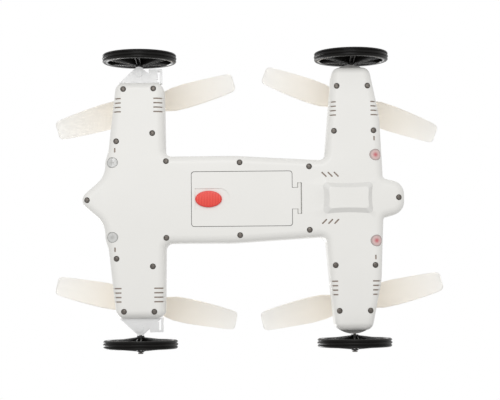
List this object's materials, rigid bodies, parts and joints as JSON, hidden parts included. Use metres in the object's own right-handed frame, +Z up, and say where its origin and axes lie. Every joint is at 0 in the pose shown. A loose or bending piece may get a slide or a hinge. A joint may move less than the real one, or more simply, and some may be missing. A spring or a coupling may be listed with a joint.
{
  "type": "flying car quadcopter",
  "caption": "H-shaped toy quadcopter that also stands on road wheels, with ivory rotors above the arm ends and a battery door underneath.",
  "frame": {"origin": "on the ground under the middle of the whole object's box, propellers as posed", "axes": "+Z up, -Y towards the nose, +X towards the car's left side"},
  "size_m": [0.2222, 0.2946, 0.0762],
  "materials": {
    "white_shell": "fine satin, slightly warm white moulded plastic",
    "red_button": "moulded red, fine ridges",
    "tinted_canopy": "dark tinted clear plastic",
    "dark_screw": "blackened steel",
    "board_green": "solder-masked laminate",
    "black_plastic": "fine matte",
    "connector_white": "moulded nylon",
    "battery_wrap": "wrapped foil pack",
    "wire_sheath": "soft insulation",
    "clear_plastic": "clear moulded plastic",
    "red_lens": "red clear plastic",
    "bulb_clear": "clear domed bulb",
    "brass_bush": "turned",
    "steel_pin": "ground",
    "motor_can": "drawn can",
    "ivory_blade": "translucent ivory plastic",
    "gear_nylon": "moulded nylon",
    "wheel_black": "moulded black with bright edges",
    "tyre_rubber": "fine grooved rubber"
  },
  "bodies": {
    "root": {"bottom_shell": "white_shell", "top_shell": "white_shell", "canopy": "tinted_canopy", "shell_screws": "dark_screw", "circuit_board": "board_green", "board_chips": "black_plastic", "board_socket": "connector_white", "battery": "battery_wrap", "battery_plug": "connector_white", "battery_lead": "wire_sheath", "motor_leads": "wire_sheath", "front_lenses": "clear_plastic", "rear_lenses": "red_lens", "lamp_bulbs": "bulb_clear", "shaft_bushes": "brass_bush", "switch_case": "black_plastic", "kingpins": "steel_pin", "rear_axles": "steel_pin", "front_left_arm_tip": "clear_plastic", "front_right_arm_tip": "clear_plastic", "front_left_motor": "motor_can", "front_right_motor": "motor_can", "rear_left_motor": "motor_can", "rear_right_motor": "motor_can"},
    "door": {"battery_door": "white_shell"},
    "latch": {"door_latch": "red_button"},
    "switch": {"switch_knob": "black_plastic"},
    "front_left_steer": {"front_left_knuckle": "clear_plastic", "front_left_axle": "steel_pin"},
    "front_right_steer": {"front_right_knuckle": "clear_plastic", "front_right_axle": "steel_pin"},
    "front_left_wheel": {"front_left_tyre": "tyre_rubber", "front_left_rim": "wheel_black"},
    "front_right_wheel": {"front_right_tyre": "tyre_rubber", "front_right_rim": "wheel_black"},
    "rear_left_wheel": {"rear_left_tyre": "tyre_rubber", "rear_left_rim": "wheel_black"},
    "rear_right_wheel": {"rear_right_tyre": "tyre_rubber", "rear_right_rim": "wheel_black"},
    "front_left_rotor": {"front_left_propeller": "ivory_blade", "front_left_prop_screw": "dark_screw", "front_left_shaft": "steel_pin", "front_left_gear": "gear_nylon"},
    "front_left_drive": {"front_left_pinion": "brass_bush"},
    "front_right_rotor": {"front_right_propeller": "ivory_blade", "front_right_prop_screw": "dark_screw", "front_right_shaft": "steel_pin", "front_right_gear": "gear_nylon"},
    "front_right_drive": {"front_right_pinion": "brass_bush"},
    "rear_left_rotor": {"rear_left_propeller": "ivory_blade", "rear_left_prop_screw": "dark_screw", "rear_left_shaft": "steel_pin", "rear_left_gear": "gear_nylon"},
    "rear_left_drive": {"rear_left_pinion": "brass_bush"},
    "rear_right_rotor": {"rear_right_propeller": "ivory_blade", "rear_right_prop_screw": "dark_screw", "rear_right_shaft": "steel_pin", "rear_right_gear": "gear_nylon"},
    "rear_right_drive": {"rear_right_pinion": "brass_bush"}
  },
  "joints": [
    {"name": "front_left_rotor_spin", "type": "hinge", "parent": "root", "child": "front_left_rotor", "pos_m": [0.075, -0.0789, 0.06], "axis": [0, 0, 1], "continuous": true},
    {"name": "front_left_drive_spin", "type": "hinge", "parent": "root", "child": "front_left_drive", "pos_m": [0.065, -0.0789, 0.018], "axis": [0, 0, 1], "continuous": true},
    {"name": "front_right_rotor_spin", "type": "hinge", "parent": "root", "child": "front_right_rotor", "pos_m": [-0.075, -0.0789, 0.06], "axis": [0, 0, 1], "continuous": true},
    {"name": "front_right_drive_spin", "type": "hinge", "parent": "root", "child": "front_right_drive", "pos_m": [-0.065, -0.0789, 0.018], "axis": [0, 0, 1], "continuous": true},
    {"name": "rear_left_rotor_spin", "type": "hinge", "parent": "root", "child": "rear_left_rotor", "pos_m": [0.075, 0.0769, 0.06], "axis": [0, 0, 1], "continuous": true},
    {"name": "rear_left_drive_spin", "type": "hinge", "parent": "root", "child": "rear_left_drive", "pos_m": [0.065, 0.0769, 0.018], "axis": [0, 0, 1], "continuous": true},
    {"name": "rear_right_rotor_spin", "type": "hinge", "parent": "root", "child": "rear_right_rotor", "pos_m": [-0.075, 0.0769, 0.06], "axis": [0, 0, 1], "continuous": true},
    {"name": "rear_right_drive_spin", "type": "hinge", "parent": "root", "child": "rear_right_drive", "pos_m": [-0.065, 0.0769, 0.018], "axis": [0, 0, 1], "continuous": true},
    {"name": "front_left_steer", "type": "hinge", "parent": "root", "child": "front_left_steer", "pos_m": [0.0926, -0.0799, 0.0272], "axis": [0, 0, 1], "range_deg": [-12, 12]},
    {"name": "front_right_steer", "type": "hinge", "parent": "root", "child": "front_right_steer", "pos_m": [-0.0926, -0.0799, 0.0272], "axis": [0, 0, 1], "range_deg": [-12, 12]},
    {"name": "front_left_wheel_spin", "type": "hinge", "parent": "front_left_steer", "child": "front_left_wheel", "pos_m": [0.1043, -0.0799, 0.0272], "axis": [1, 0, 0], "continuous": true},
    {"name": "front_right_wheel_spin", "type": "hinge", "parent": "front_right_steer", "child": "front_right_wheel", "pos_m": [-0.1043, -0.0799, 0.0272], "axis": [1, 0, 0], "continuous": true},
    {"name": "rear_left_wheel_spin", "type": "hinge", "parent": "root", "child": "rear_left_wheel", "pos_m": [0.1043, 0.0753, 0.0272], "axis": [1, 0, 0], "continuous": true},
    {"name": "rear_right_wheel_spin", "type": "hinge", "parent": "root", "child": "rear_right_wheel", "pos_m": [-0.1043, 0.0753, 0.0272], "axis": [1, 0, 0], "continuous": true},
    {"name": "door_hinge", "type": "hinge", "parent": "root", "child": "door", "pos_m": [0, 0.036, 0.0153], "axis": [1, 0, 0], "range_deg": [0, 100]},
    {"name": "latch_slide", "type": "slide", "parent": "door", "child": "latch", "axis": [0, 1, 0], "range_m": [0, 0.005]},
    {"name": "switch_slide", "type": "slide", "parent": "root", "child": "switch", "axis": [0, 1, 0], "range_m": [0, 0.003]}
  ],
  "couplings": [
    {"joint": "front_left_drive_spin", "follows": "front_left_rotor_spin", "ratio": -4},
    {"joint": "front_right_drive_spin", "follows": "front_right_rotor_spin", "ratio": -4},
    {"joint": "rear_left_drive_spin", "follows": "rear_left_rotor_spin", "ratio": -4},
    {"joint": "rear_right_drive_spin", "follows": "rear_right_rotor_spin", "ratio": -4}
  ]
}
